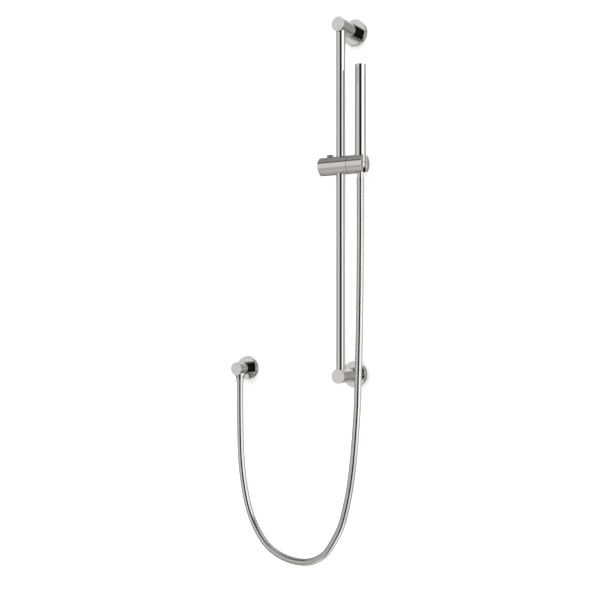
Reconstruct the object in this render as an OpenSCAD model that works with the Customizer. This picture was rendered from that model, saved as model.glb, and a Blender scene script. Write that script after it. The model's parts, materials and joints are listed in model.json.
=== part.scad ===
// Slide-bar hand shower: a round bar on two wall brackets, a locking slider with a
// tilting holder, a slim stick handset, a metal hose and a wall outlet elbow.
// Frame: +X right, +Y into the wall, +Z up. The wall is the plane y = 0, and the
// origin is the centre of the lower bracket's back face.

/* [Bar and brackets] */
// Distance between the two bracket axes
spacing = 720; // [600:1:900]
// Bar diameter
bar_d = 19; // [19:0.1:20]
// Distance from the wall to the bar's axis
bar_out = 65; // [62:1:68]
// Bracket post diameter
post_d = 30; // [29:0.5:34]
// Distance from the wall to a bracket's front face
post_out = 78; // [76:1:82]
// Diameter of a bracket's wall flange
flange_d = 54; // [52:1:62]
// Wall flange thickness
flange_t = 10; // [8:0.5:12]

/* [Wall outlet] */
// Outlet axis, to the left of the bar
outlet_left = 276; // [200:0.5:320]
// Outlet axis, above the lower bracket's axis
outlet_up = 3; // [-20:1:20]
// Outlet post diameter
outlet_d = 29; // [28:0.5:32]
// Distance from the wall to the outlet's front face
outlet_out = 50; // [48:1:54]
// Diameter of the outlet's wall flange
outlet_flange_d = 51.5; // [51:0.5:60]
// Distance from the wall to the hose where it leaves the outlet
outlet_hose_out = 34.5; // [34:0.5:36]

/* [Slider and holder] */
// Slider height above the lower bracket's axis
slider_up = 432; // [300:1:600]
// Slider diameter
slider_d = 38; // [37:0.1:40]
// Reach of the slider's left end from the bar's axis
slider_left = 45.6; // [44:0.1:50]
// Place of the seam between slider and holder
seam_x = 21; // [20.5:0.1:22]
// Place of the holder's right end face
holder_end = 56.4; // [55:0.1:58]
// Width of the slot in the holder's end
slot_w = 17; // [16:0.5:18]
// Release button diameter
button_d = 13.5; // [12:0.1:14]

/* [Handset] */
// Handset axis, to the right of the bar's axis
handset_x = 45.5; // [45:0.1:46]
// Handset diameter
handset_d = 22.2; // [22:0.1:22.4]
// Height of the handset's top end
handset_top = 632.8; // [600:0.1:700]
// Height of the seam between the handset and its cone nut
nut_seam = 435; // [434:0.1:436]
// Height of the spray face
spray_h = 33; // [24:1:40]
// Width of the spray face
spray_w = 9; // [7:0.5:11]
// Gap between the handset's top end and the spray face
spray_below_top = 6.8; // [5:0.1:20]

/* [Hose] */
// Hose diameter
hose_d = 15; // [14:0.5:16]
// Height of the hose's upper end
hose_top = 404; // [400:1:408]
// Height of the hose's lower end
hose_bottom = -27; // [-29:1:-25]
// Neck diameter of the sleeve above the hose
neck_d = 12.5; // [12:0.1:13]

/* [Hidden] */
$fn = 72;
edge = 0.25;                     // small chamfer on turned edges
rim = 0.25;                      // chamfer of the holder's end
flange_rim = 0.4;                // chamfer of a flange's face
slack = 0.05;                    // radial clearance of a running fit
bar_y = -bar_out;
bar_r = bar_d / 2;
bar_wall = 1.5;
bar_end = 6;                     // bar past a bracket axis
post_r = post_d / 2;
plate_t = 3;
plate_r = 22;
plate_hole_x = 18;
plate_hole_r = 2.6;
spigot_r = 10;
spigot_out = 34;
web_out = 44;                    // back of the post's solid front part
flange_r = flange_d / 2;
cover_t = 2.5;                   // front wall of a flange
groove_in = 23;                  // gasket groove radii
groove_out = 24.8;
hollow_r = 22.4;                 // space for the plate inside a flange
gasket_t = 1;
grub_r = 2;
grub_out = 18;                   // grub screw's distance from the wall
bolt_r = 2.5;                    // bar and pivot screws
bolt_head_r = 4.25;
bolt_head_t = 3;
plug_l = 16;

outlet_x = -outlet_left;
outlet_r = outlet_d / 2;
inlet_r = 9.3;                   // half-inch pipe thread, minor radius
inlet_l = 14;
valve_r = 6.2;
valve_end = 24.5;
valve_l = 9.5;
vane_t = 1;                      // spokes of the check valve
water_r = 4.5;
duct_r = 4;                      // waterway inside the outlet
thread_r = 8.3;                  // hose collar's male thread
thread_top = -6.5;
boss_r = 11.5;                   // short spout under the outlet
oring_back = 4;                  // outlet O-ring's groove, from the wall
oring_front = 6;
washer_t = 2;

slider_r = slider_d / 2;
bush_r = 11.5;
cap_t = 4;
cap_r = 15;
channel_r = 7;                   // brake channel
channel_end = -16;
nose_r = 4.8;
shoe_back = -36;
shoe_step = -17;
pocket_end = -30;
button_x = -25;
button_top = 23.5;
button_round = 1.2;
button_base = 16;
button_floor = 10.2;
button_hole_r = 5.2;
wedge_slope = -0.3;              // shoe travel for each unit of button travel
wedge_half = 2;
pivot_r = 8;
pivot_end = 28;
pivot_web = 30.5;
pivot_head = 31.2;
pivot_tip = 14.2;
seam_gap = 0.9;
seam_edge = 0.1;                 // the two edges at the seam are nearly sharp
seal_groove_r = 10.7;
seal_groove_x = 2.2;
pivot_head_r = 4.8;
cavity_r = 11.5;
seat_top = 424.2;
seat_ledge = 423;
seat_r = slot_w / 2;
seat_lip = 1.2;                  // metal left under the seat's liner

handset_r = handset_d / 2;
shell_t = 1.5;
tube_r = handset_r - shell_t;
top_round = 0.6;
nut_gap = 0.8;                   // shadow gap between the shell and the cone nut
nut_bottom = 423.3;
nut_base = 425;
nut_cone = 425.5;
nut_tip_r = 9.6;
neck_r = neck_d / 2;
adapter_r = 9;
collar_r = 8;                    // collar that the nut pulls on
sleeve_top = 426.5;
seal_bottom = 426.6;
seal_top = 428.6;
adapter_top = 452;
spray_z = handset_top - spray_below_top - spray_h / 2;
spray_depth = 3.5;
face_t = 1.8;                    // faceplate over the nozzle sheet
// Nozzle columns and rows on the spray face
nozzle_x = 2.3;
nozzle_rows = 9;
nozzle_pitch = 3.1;
nozzle_r = 0.6;
nozzle_proud = 0.3;
water_slot_w = 7;

// Route of the hose: x and z of hand-placed points from the upper end to the lower
hose_route = [
    [45.5, hose_top], [45.5, 350], [45.5, 300], [45, 240], [44.5, 180], [43.5, 120],
    [42, 60], [40, 0], [38, -60], [33.5, -120], [27.3, -180], [17.4, -240], [1.4, -300.5],
    [-17.7, -339], [-44.6, -375.3], [-80.2, -395.6], [-120.8, -401.5], [-161, -396],
    [-198.2, -379], [-228.8, -346.3], [-250.5, -304.5], [-263.7, -256], [-271.6, -205],
    [-274.6, -155], [-275.7, -105], [outlet_x, -65], [outlet_x, hose_bottom]
];

nickel = [0.80, 0.78, 0.75];
steel = [0.62, 0.63, 0.65];
black = [0.06, 0.06, 0.07];
rubber = [0.12, 0.12, 0.13];
silicone = [0.55, 0.55, 0.55];
white = [0.88, 0.88, 0.86];

// ---- helpers ----

function unit(v) = v / norm(v);

function spline(a, b, c, d, t) =
    0.5 * (2 * b + (c - a) * t + (2 * a - 5 * b + 4 * c - d) * t * t
        + (3 * b - a - 3 * c + d) * t * t * t);

function smooth(p, steps) = [
    for (i = [0 : len(p) - 2]) for (s = [0 : steps - 1])
        spline(p[max(i - 1, 0)], p[i], p[i + 1], p[min(i + 2, len(p) - 1)], s / steps),
    p[len(p) - 1]
];

// Round tube swept along a path; across is a direction square to most of the path
module tube(path, r, sides, across) {
    n = len(path);
    points = [
        for (i = [0 : n - 1])
            let (t = unit(path[min(i + 1, n - 1)] - path[max(i - 1, 0)]),
                 u = unit(cross(t, across)), v = cross(t, u))
            for (k = [0 : sides - 1])
                path[i] + r * (cos(360 * k / sides) * u + sin(360 * k / sides) * v)
    ];
    faces = [
        [for (k = [0 : sides - 1]) k],
        [for (k = [0 : sides - 1]) n * sides - 1 - k],
        for (i = [0 : n - 2]) for (k = [0 : sides - 1])
            let (a = i * sides + k, b = i * sides + (k + 1) % sides)
            [a, a + sides, b + sides, b]
    ];
    polyhedron(points, faces, convexity = 6);
}

// Coil spring about Z from z = 0 up to length
module spring(r, wire, length, turns) {
    step = 30;
    tube([for (a = [0 : step : 360 * turns])
        [r * cos(a), r * sin(a), wire + (length - 2 * wire) * a / (360 * turns)]],
        wire, 6, [0, 0, 1]);
}

// Turned shapes about a wall normal: profile points are [radius, distance from wall]
module turned_out(profile) rotate([90, 0, 0]) rotate_extrude() polygon(profile);

// Turned shapes about the slider's axis: profile points are [radius, x]
module turned_x(profile) rotate([0, 90, 0]) rotate_extrude() polygon(profile);

// Cylinder along the wall normal, from distance a to distance b out of the wall
module rod_out(r, a, b) translate([0, -a, 0]) rotate([90, 0, 0]) cylinder(r = r, h = b - a);

// Cylinder along X, from a to b
module rod_x(r, a, b) translate([a, 0, 0]) rotate([0, 90, 0]) cylinder(r = r, h = b - a);

module rod_z(r, a, b) translate([0, 0, a]) cylinder(r = r, h = b - a);

// Oblong with round ends, upright, cut from y = a to y = b
module oblong(w, h, a, b) translate([0, b, 0]) rotate([90, 0, 0]) linear_extrude(b - a) {
    square([w, h - w], center = true);
    for (s = [-1, 1]) translate([0, s * (h - w) / 2]) circle(d = w);
}

module ring(r_out, r_in, h) difference() {
    cylinder(r = r_out, h = h);
    translate([0, 0, -1]) cylinder(r = r_in, h = h + 2);
}

// Points of an outer top corner at radius r and height z, rounded by c
function rounded_corner(r, z, c) =
    [for (a = [0 : 15 : 90]) [r - c + c * cos(a), z - c + c * sin(a)]];

module oring(r, section) rotate_extrude() translate([r, 0]) circle(r = section, $fn = 24);

// ---- bar and brackets ----

module bar() color(nickel) translate([0, bar_y, 0]) difference() {
    rod_z(bar_r, -bar_end, spacing + bar_end);
    rod_z(bar_r - bar_wall, -bar_end - 1, spacing + bar_end + 1);
    for (z = [0, spacing]) translate([0, bar_r + 1, z]) rod_out(bolt_r + 0.1, 0, bar_r + 1);
}

// way is 1 where the bar leaves upwards and -1 where it leaves downwards
module bracket_post(z, way) color(nickel) translate([0, 0, z]) difference() {
    turned_out([[spigot_r + slack, plate_t], [post_r, plate_t], [post_r, post_out - edge],
        [post_r - edge, post_out], [0, post_out], [0, web_out], [spigot_r + slack, web_out]]);
    translate([0, bar_y, way > 0 ? -bar_end : -post_r - 1])
        cylinder(r = bar_r + slack, h = post_r + 1 + bar_end);
    rod_out(bolt_r + 0.1, web_out - 1, bar_out);
    translate([0, -grub_out, 0]) rod_z(grub_r, -post_r - 1, 0);
}

module bracket_plate(z) color(steel) translate([0, 0, z]) difference() {
    union() {
        rod_out(plate_r, 0, plate_t);
        rod_out(spigot_r, 0, spigot_out);
    }
    for (s = [-1, 1]) translate([s * plate_hole_x, 0, 0]) rod_out(plate_hole_r, -1, plate_t + 1);
}

// Half section of a wall flange of radius r, from its bore to its gasket groove
function flange_profile(bore, r) = [[bore, flange_t], [r - flange_rim, flange_t],
    [r, flange_t - flange_rim], [r, 0], [groove_out, 0], [groove_out, gasket_t],
    [groove_in, gasket_t], [groove_in, 0]];

module bracket_flange(z) color(nickel) translate([0, 0, z])
    turned_out(concat(flange_profile(post_r + slack, flange_r), [[hollow_r, 0],
        [hollow_r, flange_t - cover_t], [post_r + slack, flange_t - cover_t]]));

module gasket(x, z) color(rubber) translate([x, 0, z]) rotate([90, 0, 0])
    ring(groove_out, groove_in, gasket_t);

module set_screw(z) color(steel) translate([0, -grub_out, z]) difference() {
    rod_z(grub_r, -post_r + 0.4, -spigot_r);
    translate([0, 0, -post_r]) cylinder(d = 2.3, h = 2.4, $fn = 6);
}

module bar_plug(z, way) color(black) translate([0, bar_y, z]) difference() {
    rod_z(bar_r - bar_wall, way > 0 ? -bar_end : bar_end - plug_l,
        way > 0 ? plug_l - bar_end : bar_end);
    translate([0, bar_r, 0]) rod_out(bolt_r, 0, bar_d);
}

module bar_screw(z) color(steel) translate([0, 0, z]) difference() {
    union() {
        rod_out(bolt_head_r, web_out - bolt_head_t, web_out);
        rod_out(bolt_r - slack, web_out, bar_out - 2);
    }
    translate([0, -web_out + bolt_head_t + 1, 0]) rotate([90, 0, 0])
        cylinder(d = 3.4, h = 3, $fn = 6);
}

// ---- wall outlet ----

module at_outlet() translate([outlet_x, 0, outlet_up]) children();

module outlet_body() color(nickel) at_outlet() difference() {
    union() {
        turned_out([[0, 0], [outlet_r, 0], [outlet_r, outlet_out - edge],
            [outlet_r - edge, outlet_out], [0, outlet_out]]);
        translate([0, -outlet_hose_out, 0]) rod_z(boss_r, -outlet_r, -1);
    }
    rod_out(inlet_r, -1, inlet_l);
    rod_out(valve_r, inlet_l - 1, valve_end);
    rod_out(duct_r, valve_end - 1, outlet_hose_out + 6);
    translate([0, -outlet_hose_out, 0]) {
        rod_z(thread_r, -outlet_r - 1, thread_top + washer_t);
        rod_z(duct_r - 0.5, -outlet_r, 0);
    }
}

module outlet_flange() color(nickel) at_outlet() difference() {
    turned_out(concat(flange_profile(outlet_r + slack, outlet_flange_d / 2),
        [[outlet_r + slack, 0]]));
    turned_out([[outlet_r - 1, oring_back], [outlet_r + 1.8, oring_back],
        [outlet_r + 1.8, oring_front], [outlet_r - 1, oring_front]]);
}

module outlet_oring() color(rubber) at_outlet()
    translate([0, -(oring_back + oring_front) / 2, 0]) rotate([90, 0, 0])
        oring(outlet_r + 0.9, 0.9);

// Cartridge with a central stop on three vanes
module outlet_check_valve() color(white) at_outlet() translate([0, -inlet_l - 0.5, 0])
    rotate([90, 0, 0]) {
        ring(valve_r, water_r, valve_l);
        translate([0, 0, 3]) cylinder(r = 3, h = 3);
        for (a = [0, 120, 240]) rotate(a)
            translate([0, -vane_t / 2, 3.5]) cube([water_r + 1, vane_t, 2]);
    }

// ---- hose ----

// Outline of the lower collar, below the outlet: a short sleeve over the hose and a flare
// up to the outlet's spout; each point is [radius, height above the hose's end]
collar_h = outlet_up - outlet_r - hose_bottom;
collar_outline = [[7.6, 0], [7.9, 0.5], [8.6, 1.6], [8.8, 2.6], [8.8, 8], [9.3, 10.2],
    [10.2, 12.6], [11.2, collar_h]];

module hose_lower_collar() color(nickel) at_outlet()
    translate([0, -outlet_hose_out, hose_bottom - outlet_up]) rotate_extrude() {
        top = outlet_up - hose_bottom;
        polygon(concat([[water_r, 0]], collar_outline, [[thread_r, collar_h],
            [thread_r, top + thread_top], [water_r, top + thread_top]]));
    }

module hose_lower_washer() color(rubber) at_outlet()
    translate([0, -outlet_hose_out, thread_top]) ring(thread_r - 0.1, water_r, washer_t);

module hose() color(steel) {
    lean = (-outlet_hose_out - bar_y) / (outlet_x - handset_x);
    route = [for (p = hose_route) [p[0], bar_y + (p[0] - handset_x) * lean, p[1]]];
    tube(smooth(route, 2), hose_d / 2, 10, unit([-lean, 1, 0]));
}

module hose_upper_sleeve() color(nickel) translate([handset_x, bar_y, 0]) rotate_extrude()
    polygon([[water_r, hose_top], [neck_r, hose_top], [neck_r, nut_base + slack],
        [collar_r, nut_base + slack], [collar_r, sleeve_top], [water_r, sleeve_top]]);

// ---- slider ----

module at_slider() translate([0, bar_y, slider_up]) children();

module slider_body() color(nickel) at_slider() difference() {
    union() {
        turned_x([[0, -slider_left], [slider_r - edge, -slider_left],
            [slider_r, edge - slider_left], [slider_r, seam_x - seam_edge],
            [slider_r - seam_edge, seam_x], [0, seam_x]]);
        rod_x(pivot_r, 0, pivot_end);
    }
    rod_z(bush_r, -slider_r - 1, slider_r + 1);
    rod_x(cap_r, -slider_left - 1, cap_t - slider_left);
    rod_x(channel_r, -slider_left, channel_end);
    rod_x(nose_r + 0.2, channel_end - 1, 0);
    translate([button_x, 0, 0]) {
        rod_z(button_d / 2 + 0.1, button_floor, slider_r + 1);
        rod_z(button_hole_r, 0, button_floor + 1);
    }
    rod_x(bolt_r, 0, pivot_end + 1);
}

module slider_bush() color(nickel) at_slider() difference() {
    intersection() {
        rod_z(bush_r, -slider_r, slider_r);
        rod_x(slider_r, -bush_r - 1, bush_r + 1);
    }
    rod_z(bar_r + slack, -slider_r - 1, slider_r + 1);
    rod_x(nose_r + 0.2, -bush_r - 1, 0);
}

module slider_end_cap() color(nickel) at_slider() turned_x([[0, -slider_left],
    [cap_r - edge, -slider_left], [cap_r, edge - slider_left],
    [cap_r, cap_t - slider_left], [0, cap_t - slider_left]]);

// Inclined slot or blade in the X-Z plane, w wide along X and d along Y
module wedge(w, d, a, b) translate([button_x, d / 2, 0]) rotate([90, 0, 0]) linear_extrude(d)
    polygon([for (p = [[-1, a], [1, a], [1, b], [-1, b]])
        [p[0] * w / 2 + wedge_slope * (p[1] - 2), p[1]]]);

module brake_shoe() color(black) at_slider() difference() {
    union() {
        rod_x(channel_r - 0.1, shoe_back, shoe_step);
        rod_x(nose_r, shoe_step - 1, 0);
    }
    rod_z(bar_r + slack, -10, 10);
    rod_x(4.2, shoe_back - 1, pocket_end);
    wedge(2 * wedge_half + 0.2, 5.4, -10, 10);
}

module brake_spring() color(steel) at_slider() translate([cap_t - slider_left, 0, 0])
    rotate([0, 90, 0]) spring(3.5, 0.5, slider_left - cap_t + pocket_end, 5);

module release_button() color(nickel) at_slider() {
    translate([button_x, 0, 0]) {
        rotate_extrude() polygon(concat([[0, button_base], [button_d / 2, button_base]],
            rounded_corner(button_d / 2, button_top, button_round), [[0, button_top]]));
        rod_z(3, button_floor - 0.2, button_base + 1);
    }
    wedge(2 * wedge_half, 5, -3.5, button_floor);
}

module button_spring() color(steel) at_slider() translate([button_x, 0, button_floor])
    spring(5.9, 0.4, button_base - button_floor, 3);

module pivot_screw() color(steel) at_slider() difference() {
    union() {
        rod_x(4.5, pivot_head, handset_x - cavity_r);
        rod_x(bolt_r - slack, pivot_tip, pivot_head + 1);
    }
    translate([handset_x - cavity_r - 1.6, 0, 0]) rotate([0, 90, 0])
        cylinder(d = 3.4, h = 3, $fn = 6);
}

module pivot_washer() color(steel) at_slider() translate([pivot_web + 0.1, 0, 0])
    rotate([0, 90, 0]) ring(4.4, bolt_r + 0.1, pivot_head - pivot_web - 0.1);

module pivot_oring() color(rubber) at_slider() translate([seam_x + 1, 0, 0])
    rotate([0, 90, 0]) oring(pivot_r + 1.1, 1);

// ---- holder ----

module holder_body() color(nickel) at_slider() difference() {
    turned_x([[0, seam_x + seam_gap], [slider_r - seam_edge, seam_x + seam_gap],
        [slider_r, seam_x + seam_gap + seam_edge], [slider_r, holder_end - rim],
        [slider_r - rim, holder_end], [0, holder_end]]);
    rod_x(seal_groove_r, seam_x, seam_x + seal_groove_x);
    rod_x(pivot_r + slack, seam_x, pivot_end + 0.6);
    rod_x(bolt_r + 0.1, seam_x, handset_x);
    rod_x(pivot_head_r, pivot_web, handset_x);
    translate([handset_x, 0, 0]) {
        rod_z(cavity_r, 0, slider_r + 1);
        rod_z(seat_r, -slider_r - 1, 1);
    }
    intersection() {
        translate([handset_x, 0, 0]) rod_z(cavity_r, -slider_r - 1, 1);
        rod_x(slider_r - seat_lip, seam_x, holder_end + 1);
    }
    translate([handset_x, -slot_w / 2, -slider_r - 1]) cube([20, slot_w, slider_d + 2]);
}

module holder_seat() color(black) intersection() {
    translate([handset_x, bar_y, 0]) difference() {
        rod_z(cavity_r, slider_up - slider_r, seat_top);
        rotate_extrude() polygon([[0, slider_up - slider_r - 1],
            [seat_r, slider_up - slider_r - 1], [seat_r, seat_ledge],
            [nut_tip_r + 0.1, seat_ledge], [nut_tip_r + 0.9, seat_top],
            [nut_tip_r + 0.9, seat_top + 1], [0, seat_top + 1]]);
        translate([0, -slot_w / 2, slider_up - slider_r - 1]) cube([20, slot_w, slider_d]);
    }
    at_slider() rod_x(slider_r - seat_lip - slack, seam_x, holder_end);
}

// ---- handset ----

module at_handset() translate([handset_x, bar_y, 0]) children();

module handset_shell() color(nickel) at_handset() difference() {
    shell_base = nut_seam + nut_gap / 2;
    rotate_extrude() polygon(concat([[tube_r, shell_base], [handset_r, shell_base]],
        rounded_corner(handset_r, handset_top, top_round),
        [[0, handset_top], [0, handset_top - 2], [tube_r, handset_top - 2]]));
    translate([0, 0, spray_z]) oblong(spray_w, spray_h, -handset_r - 1, -handset_r + 6);
}

module nozzles(r)
    for (i = [0 : nozzle_rows - 1], s = [-1, 1])
        translate([s * nozzle_x, 0, spray_z + (i - (nozzle_rows - 1) / 2) * nozzle_pitch])
            rod_out(r, handset_r - spray_depth + 0.5,
                sqrt(pow(handset_r, 2) - pow(nozzle_x, 2)) + nozzle_proud);

module spray_face() color(nickel) at_handset() difference() {
    intersection() {
        translate([0, 0, spray_z])
            oblong(spray_w - 0.1, spray_h - 0.1, -handset_r - 1, face_t - handset_r);
        rod_z(handset_r, spray_z - spray_h, spray_z + spray_h);
    }
    nozzles(nozzle_r + slack);
}

module spray_nozzles() color(silicone) at_handset() {
    translate([0, 0, spray_z])
        oblong(spray_w - 0.1, spray_h - 0.1, face_t - handset_r, spray_depth - handset_r);
    nozzles(nozzle_r);
}

module spray_manifold() color(white) at_handset() difference() {
    rod_z(tube_r - 0.1, spray_z - spray_h / 2 - 5, handset_top - 3.5);
    translate([0, 0, spray_z]) {
        oblong(spray_w + 0.1, spray_h + 0.1, -handset_r, spray_depth - handset_r);
        oblong(water_slot_w, spray_h - 3, -handset_r, -2);
    }
    rod_z(4, spray_z - spray_h, spray_z);
}

module manifold_oring() color(rubber) at_handset()
    translate([0, 0, spray_z - spray_h / 2 - 6]) oring(tube_r - 1, 1);

module handset_inlet() color(black) at_handset() rotate_extrude()
    polygon([[6, seal_top], [adapter_r, seal_top], [adapter_r, nut_seam + nut_gap / 2],
        [tube_r, nut_seam + nut_gap / 2], [tube_r, adapter_top], [4, adapter_top],
        [4, seal_top + 3], [6, seal_top + 3]]);

module flow_restrictor() color(white) at_handset() translate([0, 0, seal_top + 0.1])
    difference() {
        cylinder(r = 5.95, h = 2.8);
        for (a = [0 : 60 : 300]) rotate(a) translate([3.4, 0, -1]) cylinder(r = 0.8, h = 5);
        translate([0, 0, -1]) cylinder(r = 0.8, h = 5);
    }

module inlet_washer() color(rubber) at_handset() translate([0, 0, seal_bottom])
    ring(8.8, water_r, seal_top - seal_bottom);

module cone_nut() color(nickel) at_handset() rotate_extrude()
    polygon([[neck_r + 0.1, nut_bottom], [nut_tip_r, nut_bottom], [handset_r, nut_cone],
        [handset_r, nut_seam - nut_gap / 2], [adapter_r + slack, nut_seam - nut_gap / 2],
        [adapter_r + slack, nut_base],
        [neck_r + 0.1, nut_base]]);

bar();
bracket_post(spacing, -1);  // upper_post
bracket_post(0, 1);  // lower_post
bracket_plate(spacing);  // upper_plate
bracket_plate(0);  // lower_plate
bracket_flange(spacing);  // upper_flange
bracket_flange(0);  // lower_flange
gasket(0, spacing);  // upper_gasket
gasket(0, 0);  // lower_gasket
set_screw(spacing);  // upper_set_screw
set_screw(0);  // lower_set_screw
bar_plug(spacing, -1);  // upper_bar_plug
bar_plug(0, 1);  // lower_bar_plug
bar_screw(spacing);  // upper_bar_screw
bar_screw(0);  // lower_bar_screw
outlet_body();
outlet_flange();
gasket(outlet_x, outlet_up);  // outlet_gasket
outlet_oring();
outlet_check_valve();
hose_lower_collar();
hose_lower_washer();
hose();
hose_upper_sleeve();
slider_body();
slider_bush();
slider_end_cap();
brake_shoe();
brake_spring();
release_button();
button_spring();
pivot_screw();
pivot_washer();
pivot_oring();
holder_body();
holder_seat();
handset_shell();
spray_face();
spray_nozzles();
spray_manifold();
manifold_oring();
handset_inlet();
flow_restrictor();
inlet_washer();
cone_nut();
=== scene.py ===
import json
import math

import bmesh
import bpy
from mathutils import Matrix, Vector


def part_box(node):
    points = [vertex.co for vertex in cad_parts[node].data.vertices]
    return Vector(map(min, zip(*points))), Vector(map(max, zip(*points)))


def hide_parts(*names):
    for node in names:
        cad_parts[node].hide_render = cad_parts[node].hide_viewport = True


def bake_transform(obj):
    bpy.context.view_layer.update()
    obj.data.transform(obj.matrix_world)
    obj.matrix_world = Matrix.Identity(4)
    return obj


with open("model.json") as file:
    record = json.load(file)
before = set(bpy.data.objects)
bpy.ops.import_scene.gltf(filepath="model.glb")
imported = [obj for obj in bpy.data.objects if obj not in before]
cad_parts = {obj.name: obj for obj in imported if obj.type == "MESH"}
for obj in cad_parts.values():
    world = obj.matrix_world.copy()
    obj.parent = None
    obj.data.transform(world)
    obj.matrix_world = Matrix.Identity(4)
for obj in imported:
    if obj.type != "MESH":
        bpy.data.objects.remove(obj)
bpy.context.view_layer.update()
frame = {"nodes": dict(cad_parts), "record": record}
scene = bpy.context.scene
nodes = frame["nodes"]


# ---- camera ----

CAMERA_AT = Vector((0.895, -1.657, 0.151))
CAMERA_YAW = math.radians(31.97)      # turned left from square-on to the wall
CAMERA_RISE = math.radians(0.16)      # looking very slightly up
CAMERA_LENS = 53.37                   # mm
CAMERA_SENSOR = 36.0                  # mm
CAMERA_SEES = 50.0                    # m


def add_camera():
    data = bpy.data.cameras.new("camera")
    data.lens = CAMERA_LENS
    data.sensor_width = CAMERA_SENSOR
    data.clip_end = CAMERA_SEES
    camera = bpy.data.objects.new("camera", data)
    scene.collection.objects.link(camera)
    camera.location = CAMERA_AT
    camera.rotation_euler = (math.pi / 2 + CAMERA_RISE, 0.0, CAMERA_YAW)
    scene.camera = camera


add_camera()


# ---- hose route, as in the CAD ----

def centre(node):
    low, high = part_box(node)
    return (low + high) / 2


HOSE_D = 0.015
HOSE_TOP_AT = centre("hose_upper_sleeve")
HOSE_BOTTOM_AT = centre("hose_lower_collar")
HOSE_ACROSS = Vector((HOSE_TOP_AT.y - HOSE_BOTTOM_AT.y,
                      HOSE_BOTTOM_AT.x - HOSE_TOP_AT.x, 0)).normalized()

# x and z in mm, from the sleeve under the holder down to the collar under the outlet
HOSE_ROUTE = [
    (45.5, 404), (45.5, 350), (45.5, 300), (45, 240), (44.5, 180), (43.5, 120),
    (42, 60), (40, 0), (38, -60), (33.5, -120), (27.3, -180), (17.4, -240), (1.4, -300.5),
    (-17.7, -339), (-44.6, -375.3), (-80.2, -395.6), (-120.8, -401.5), (-161, -396),
    (-198.2, -379), (-228.8, -346.3), (-250.5, -304.5), (-263.7, -256), (-271.6, -205),
    (-274.6, -155), (-275.7, -105), (-276, -65), (-276, -27),
]
ROUTE_STEPS = 24            # points on the centreline for each stretch of the route
HEIGHT_STEP = 0.0005        # how finely a height is looked for along the hose
DIRECTION_REACH = 0.002     # how far to each side the hose's direction is taken from


def spline(a, b, c, d, t):
    """A point at share t of the way from b to c, on a smooth curve through all four."""
    return 0.5 * (2 * b + (c - a) * t + (2 * a - 5 * b + 4 * c - d) * t * t
                  + (3 * b - a - 3 * c + d) * t * t * t)


def hose_line():
    """The hose's centreline from its lower end to its upper end, in metres."""
    lean = (HOSE_BOTTOM_AT.y - HOSE_TOP_AT.y) / (HOSE_BOTTOM_AT.x - HOSE_TOP_AT.x)
    points = [Vector((x / 1000, HOSE_TOP_AT.y + (x / 1000 - HOSE_TOP_AT.x) * lean, z / 1000))
              for x, z in HOSE_ROUTE]
    last = len(points) - 1
    line = [spline(points[max(i - 1, 0)], points[i], points[i + 1],
                   points[min(i + 2, last)], s / ROUTE_STEPS)
            for i in range(last) for s in range(ROUTE_STEPS)]
    line.append(points[last])
    return line[::-1]


class Line:
    """A path that can be asked for its place and direction at any length along it."""

    def __init__(self, points):
        self.points = points
        self.at = [0.0]
        for a, b in zip(points, points[1:]):
            self.at.append(self.at[-1] + (b - a).length)
        self.length = self.at[-1]

    def index(self, s):
        """Which straight piece of the path holds length s."""
        low = 0
        high = len(self.at) - 2
        while low < high:
            middle = (low + high + 1) // 2
            if self.at[middle] <= s:
                low = middle
            else:
                high = middle - 1
        return low

    def place(self, s):
        i = self.index(s)
        span = self.at[i + 1] - self.at[i]
        return self.points[i].lerp(self.points[i + 1], (s - self.at[i]) / span)

    def direction(self, s):
        a = self.place(max(s - DIRECTION_REACH, 0.0))
        b = self.place(min(s + DIRECTION_REACH, self.length))
        return (b - a).normalized()

    def length_at_height(self, z):
        """Length along the path where it last passes height z."""
        s = self.length
        while s > 0 and self.place(s).z > z:
            s -= HEIGHT_STEP
        return s


hose = Line(hose_line())


# ---- meshes ----

MERGE_WITHIN = 1e-6
CAD_SHARP = math.radians(30)      # edges that turn more than this stay sharp
HOSE_SHARP = math.radians(22)


def tidy_mesh(mesh):
    """Merges doubled points, drops flat faces and turns every face outwards."""
    bm = bmesh.new()
    bm.from_mesh(mesh)
    bmesh.ops.remove_doubles(bm, verts=bm.verts, dist=MERGE_WITHIN)
    bmesh.ops.dissolve_degenerate(bm, edges=bm.edges, dist=MERGE_WITHIN)
    bmesh.ops.recalc_face_normals(bm, faces=bm.faces)
    bm.to_mesh(mesh)
    bm.free()


def add_mesh(name, verts, faces, smooth=True):
    mesh = bpy.data.meshes.new(name)
    mesh.from_pydata([tuple(v) for v in verts], [], faces)
    mesh.validate()
    obj = bpy.data.objects.new(name, mesh)
    scene.collection.objects.link(obj)
    tidy_mesh(mesh)
    for polygon in mesh.polygons:
        polygon.use_smooth = smooth
    return obj


# One turn of the interlocked strip: share of the pitch, share of the radius
HOSE_PROFILE = [(0.0, 0.93), (0.05, 0.93), (0.09, 0.99), (0.13, 1.0), (0.82, 1.0),
                (0.87, 0.985), (0.92, 0.93)]
HOSE_PITCH = 0.0042
HOSE_SIDES = 32


def hose_point(s, k, radius):
    """Point k round the hose at length s, at a share of its full radius."""
    side = HOSE_ACROSS.cross(hose.direction(s)).normalized()
    angle = 2 * math.pi * k / HOSE_SIDES
    out = HOSE_ACROSS * math.cos(angle) + side * math.sin(angle)
    return hose.place(s) + out * (radius * HOSE_D / 2)


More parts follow.
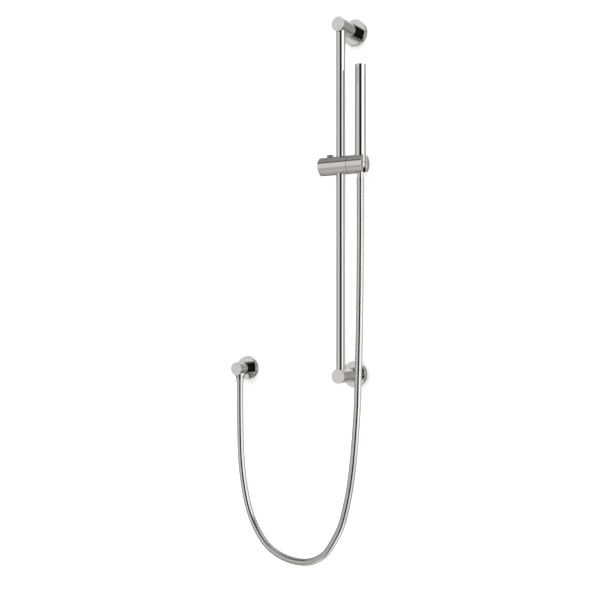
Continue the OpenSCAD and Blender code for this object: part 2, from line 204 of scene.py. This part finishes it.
def hose_verts(start, end):
    """Rows of points along the spiral, all kept between the lengths start and end."""
    first = math.floor(start / HOSE_PITCH) - 1
    last = math.ceil(end / HOSE_PITCH) + 1
    verts = []
    for turn in range(first, last):
        for along, radius in HOSE_PROFILE:
            for k in range(HOSE_SIDES):
                s = (turn + along + k / HOSE_SIDES) * HOSE_PITCH
                verts.append(hose_point(min(max(s, start), end), k, radius))
    return verts


def hose_faces(rows):
    """Faces between the rows. The end of each row meets the start of the row one turn on."""
    n = HOSE_SIDES
    turn = len(HOSE_PROFILE)
    faces = []
    for i in range(rows - 1):
        for k in range(n - 1):
            faces.append((i * n + k, i * n + k + 1, (i + 1) * n + k + 1, (i + 1) * n + k))
        if i + turn + 1 < rows:
            faces.append((i * n + n - 1, (i + turn) * n, (i + turn + 1) * n, (i + 1) * n + n - 1))
    return faces


def metal_hose(name, start, end):
    """The stretch of hose from length start to length end, wound as one spiral strip."""
    verts = hose_verts(start, end)
    obj = add_mesh(name, verts, hose_faces(len(verts) // HOSE_SIDES))
    obj.data.set_sharp_from_angle(angle=HOSE_SHARP)
    return obj


# ---- materials ----

NOISE_DETAIL = 3.0
BUMP_DISTANCE = 0.0001
NICKEL_NOISE = 14           # slow waviness of the polish
NICKEL_BUMP = 0.02
PLAIN_NOISE = 900           # fine grain
PLAIN_BUMP = 0.15
SMOOTHEST = 0.8             # range of a polished metal's roughness over its surface
ROUGHEST = 1.3


def new_material(name):
    material = bpy.data.materials.new(name)
    material.use_nodes = True
    tree = material.node_tree
    return material, tree, tree.nodes["Principled BSDF"]


def noise_bump(tree, shader, scale, strength):
    coords = tree.nodes.new("ShaderNodeTexCoord")
    noise = tree.nodes.new("ShaderNodeTexNoise")
    noise.inputs["Scale"].default_value = scale
    noise.inputs["Detail"].default_value = NOISE_DETAIL
    bump = tree.nodes.new("ShaderNodeBump")
    bump.inputs["Strength"].default_value = strength
    bump.inputs["Distance"].default_value = BUMP_DISTANCE
    tree.links.new(coords.outputs["Object"], noise.inputs["Vector"])
    tree.links.new(noise.outputs["Fac"], bump.inputs["Height"])
    tree.links.new(bump.outputs["Normal"], shader.inputs["Normal"])
    return noise


def nickel_material(name, colour, roughness):
    """Polished metal whose gloss varies slightly over its surface."""
    material, tree, shader = new_material(name)
    shader.inputs["Metallic"].default_value = 1.0
    shader.inputs["Base Color"].default_value = (*colour, 1)
    noise = noise_bump(tree, shader, NICKEL_NOISE, NICKEL_BUMP)
    gloss = tree.nodes.new("ShaderNodeMapRange")
    gloss.inputs["To Min"].default_value = roughness * SMOOTHEST
    gloss.inputs["To Max"].default_value = roughness * ROUGHEST
    tree.links.new(noise.outputs["Fac"], gloss.inputs["Value"])
    tree.links.new(gloss.outputs["Result"], shader.inputs["Roughness"])
    return material


def plain_material(name, colour, roughness, metallic=0.0):
    material, tree, shader = new_material(name)
    shader.inputs["Base Color"].default_value = (*colour, 1)
    shader.inputs["Metallic"].default_value = metallic
    shader.inputs["Roughness"].default_value = roughness
    noise_bump(tree, shader, PLAIN_NOISE, PLAIN_BUMP)
    return material


FINISHES = {
    "nickel": nickel_material("polished_nickel", (0.60, 0.58, 0.558), 0.04),
    "nickel_plastic": nickel_material("metallised_plastic", (0.50, 0.485, 0.47), 0.09),
    "hose_metal": nickel_material("hose_nickel", (0.60, 0.585, 0.565), 0.06),
    "steel": plain_material("steel", (0.5, 0.5, 0.51), 0.32, 1.0),
    "black_plastic": plain_material("black_plastic", (0.012, 0.012, 0.013), 0.4),
    "white_plastic": plain_material("white_plastic", (0.8, 0.8, 0.78), 0.45),
    "silicone": plain_material("silicone", (0.4, 0.4, 0.4), 0.5),
    "rubber": plain_material("rubber", (0.02, 0.02, 0.02), 0.6),
}
BUTTON_FINISH = nickel_material("button_metal", (0.33, 0.32, 0.31), 0.32)


def finish_nodes():
    """Gives every CAD piece its record slot's finish, and the button its own duller metal."""
    slots = {s["node"]: s["material_slot"] for s in frame["record"]["subparts"]}
    for name, obj in nodes.items():
        obj.data.materials.clear()
        obj.data.materials.append(FINISHES[slots[name]])
        obj.data.shade_smooth()
        obj.data.set_sharp_from_angle(angle=CAD_SHARP)
    nodes["release_button"].data.materials[0] = BUTTON_FINISH


finish_nodes()


# ---- the hose, in three stretches: the long run, the bend and the end ----

TILT_FROM = 0.270           # heights where one stretch meets the next
LIFT_FROM = 0.365


def blend_hose(long_run, bend, end):
    """Bakes each stretch's placement into its mesh."""
    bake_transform(long_run)
    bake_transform(bend)
    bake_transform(end)


def add_hose():
    tilt_s = hose.length_at_height(TILT_FROM)
    lift_s = hose.length_at_height(LIFT_FROM)
    long_run = metal_hose("hose_run", 0.0, tilt_s)
    bend = metal_hose("hose_bend", tilt_s, lift_s)
    end = metal_hose("hose_end", lift_s, hose.length)
    for piece in (long_run, bend, end):
        piece.data.materials.append(FINISHES["hose_metal"])
    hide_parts("hose")
    blend_hose(long_run, bend, end)


add_hose()


# ---- springs, as copies of the CAD springs ----

def add_spring(node):
    """Stands for the spring with a copy of its CAD mesh, and hides the CAD piece."""
    spring = bpy.data.objects.new(node + "_coil", nodes[node].data.copy())
    scene.collection.objects.link(spring)
    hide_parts(node)
    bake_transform(spring)


def add_button_spring():
    """Upright, from the floor of the slider's pocket to the button."""
    add_spring("button_spring")


def add_brake_spring():
    """Along the slider, from its end cap to the brake shoe."""
    add_spring("brake_spring")


add_button_spring()
add_brake_spring()


# ---- studio light all round ----

# What the metal reflects, by degrees round from square-on to the wall (+ is right)
AROUND = [(-180, 0.48), (-95, 0.5), (-60, 0.66), (-35, 1.0), (-20, 1.0), (-10, 0.88), (3, 0.7),
          (7, 0.02), (51.5, 0.02), (56, 1.8), (112, 1.8), (118, 0.85), (150, 0.6), (180, 0.48)]
# The same for directions that lead back to the wall
AROUND_BEHIND = [(-180, 1.0), (-156, 1.0), (-149, 0.4), (-140, 0.4), (-134, 0.5), (0, 0.5),
                 (100, 1.8), (112, 1.8), (118, 0.85), (138, 0.75), (146, 0.5), (168, 0.5),
                 (176, 1.0), (180, 1.0)]
# Share of that by height, in degrees above the horizon
UPWARD = [(-90, 1.1), (-58, 1.1), (-40, 0.68), (-22, 0.62), (-14, 0.98), (26, 1.0), (30, 0.6),
          (34, 0.2), (40, 0.22), (48, 0.42), (60, 0.7), (90, 0.8)]
# The same for directions that lead back to the wall
UPWARD_BEHIND = [(-90, 1.1), (-43, 1.1), (-37, 0.35), (-34, 0.35), (-31, 0.7), (-27, 0.5),
                 (-18, 0.9), (-12, 1.0), (5, 1.0), (12, 0.8), (18, 0.8), (22, 1.1), (30, 1.1),
                 (33, 0.9), (90, 0.9)]
BEHIND_FROM = 0.3           # a direction with a greater y share leads back to the wall
MATT_LIGHT = 1.5            # light that falls on everything matt
BACKDROP = 1.0              # what the camera sees past the wall and floor


def feed(tree, socket, value):
    """Gives the socket a number, or links it to another node."""
    if isinstance(value, (int, float)):
        socket.default_value = value
    else:
        tree.links.new(value, socket)


def math_node(tree, operation, *values):
    node = tree.nodes.new("ShaderNodeMath")
    node.operation = operation
    for socket, value in zip(node.inputs, values):
        feed(tree, socket, value)
    return node.outputs[0]


def blend_node(tree, factor, a, b):
    """a where the factor is 0, and b where it is 1."""
    mix = tree.nodes.new("ShaderNodeMix")
    feed(tree, mix.inputs[0], factor)
    feed(tree, mix.inputs[2], a)
    feed(tree, mix.inputs[3], b)
    return mix.outputs[0]


def ramp_node(tree, stops):
    node = tree.nodes.new("ShaderNodeValToRGB")
    elements = node.color_ramp.elements
    while len(elements) < len(stops):
        elements.new(0.5)
    for element, (place, value) in zip(elements, stops):
        element.position = place
        element.color = (value, value, value, 1)
    return node


def profile(tree, value, stops, degrees):
    """A brightness that follows the stops while value runs from 0 to 1 over the degrees."""
    peak = max(v for _, v in stops)
    ramp = ramp_node(tree, [(a / degrees + 0.5, v / peak) for a, v in stops])
    tree.links.new(value, ramp.inputs[0])
    return math_node(tree, "MULTIPLY", ramp.outputs[0], peak)


def studio_light(tree):
    """Brightness of the studio in each direction, as the metal reflects it."""
    coords = tree.nodes.new("ShaderNodeTexCoord")
    split = tree.nodes.new("ShaderNodeSeparateXYZ")
    tree.links.new(coords.outputs["Generated"], split.inputs[0])
    x, y, z = split.outputs
    angle = math_node(tree, "ARCTAN2", x, math_node(tree, "MULTIPLY", y, -1.0))
    turn = math_node(tree, "MULTIPLY_ADD", angle, 0.5 / math.pi, 0.5)
    height = math_node(tree, "MULTIPLY_ADD", math_node(tree, "ARCSINE", z), 1 / math.pi, 0.5)
    behind = math_node(tree, "GREATER_THAN", y, BEHIND_FROM)
    upward = blend_node(tree, behind, profile(tree, height, UPWARD, 180),
                        profile(tree, height, UPWARD_BEHIND, 180))
    around = blend_node(tree, behind, profile(tree, turn, AROUND, 360),
                        profile(tree, turn, AROUND_BEHIND, 360))
    return math_node(tree, "MULTIPLY", around, upward)


def add_world():
    world = bpy.data.worlds.new("studio")
    scene.world = world
    world.use_nodes = True
    tree = world.node_tree
    path = tree.nodes.new("ShaderNodeLightPath")
    light = blend_node(tree, path.outputs["Is Glossy Ray"], MATT_LIGHT, studio_light(tree))
    light = blend_node(tree, path.outputs["Is Camera Ray"], light, BACKDROP)
    background = tree.nodes["Background"]
    background.inputs["Color"].default_value = (1, 1, 1, 1)
    tree.links.new(light, background.inputs["Strength"])


add_world()


# ---- wall, floor and key light ----

WALL_GAP = 0.0005           # the wall's face lies just behind the flanges
WALL_REACH = 4.0
FLOOR_Z = -0.8
KEY_ENERGY = 1.0
KEY_SPREAD = math.radians(40)
KEY_SHINES = Vector((0.25, 0.55, -0.8))


def wall_material():
    """White from the front, and clear from behind so that the back can be seen."""
    material, tree, shader = new_material("wall")
    shader.inputs["Base Color"].default_value = (0.9, 0.9, 0.9, 1)
    shader.inputs["Roughness"].default_value = 0.9
    shader.inputs["Specular IOR Level"].default_value = 0.0
    clear = tree.nodes.new("ShaderNodeBsdfTransparent")
    geometry = tree.nodes.new("ShaderNodeNewGeometry")
    by_side = tree.nodes.new("ShaderNodeMixShader")
    tree.links.new(geometry.outputs["Backfacing"], by_side.inputs[0])
    tree.links.new(shader.outputs[0], by_side.inputs[1])
    tree.links.new(clear.outputs[0], by_side.inputs[2])
    tree.links.new(by_side.outputs[0], tree.nodes["Material Output"].inputs["Surface"])
    return material


def floor_material():
    material, _, shader = new_material("floor")
    shader.inputs["Base Color"].default_value = (0.75, 0.75, 0.74, 1)
    shader.inputs["Roughness"].default_value = 0.8
    return material


def add_plane(name, corners, material):
    """A flat piece of the studio, which the metal doesn't reflect."""
    obj = add_mesh(name, corners, [(0, 1, 2, 3)], smooth=False)
    obj.visible_glossy = False
    obj.data.materials.append(material)
    return obj


def add_wall():
    wall = add_plane("wall", [(-WALL_REACH, WALL_GAP, FLOOR_Z), (WALL_REACH, WALL_GAP, FLOOR_Z),
                              (WALL_REACH, WALL_GAP, WALL_REACH),
                              (-WALL_REACH, WALL_GAP, WALL_REACH)], wall_material())
    if wall.data.polygons[0].normal.y > 0:
        wall.data.flip_normals()


def add_floor():
    add_plane("floor", [(-WALL_REACH, -WALL_REACH, FLOOR_Z), (WALL_REACH, -WALL_REACH, FLOOR_Z),
                        (WALL_REACH, WALL_GAP, FLOOR_Z), (-WALL_REACH, WALL_GAP, FLOOR_Z)],
              floor_material())


def add_key_light():
    data = bpy.data.lights.new("key", "SUN")
    data.energy = KEY_ENERGY
    data.angle = KEY_SPREAD
    key = bpy.data.objects.new("key", data)
    scene.collection.objects.link(key)
    key.rotation_euler = KEY_SHINES.to_track_quat("-Z", "Y").to_euler()
    key.visible_glossy = False


add_wall()
add_floor()
add_key_light()
scene.view_settings.view_transform = "Standard"
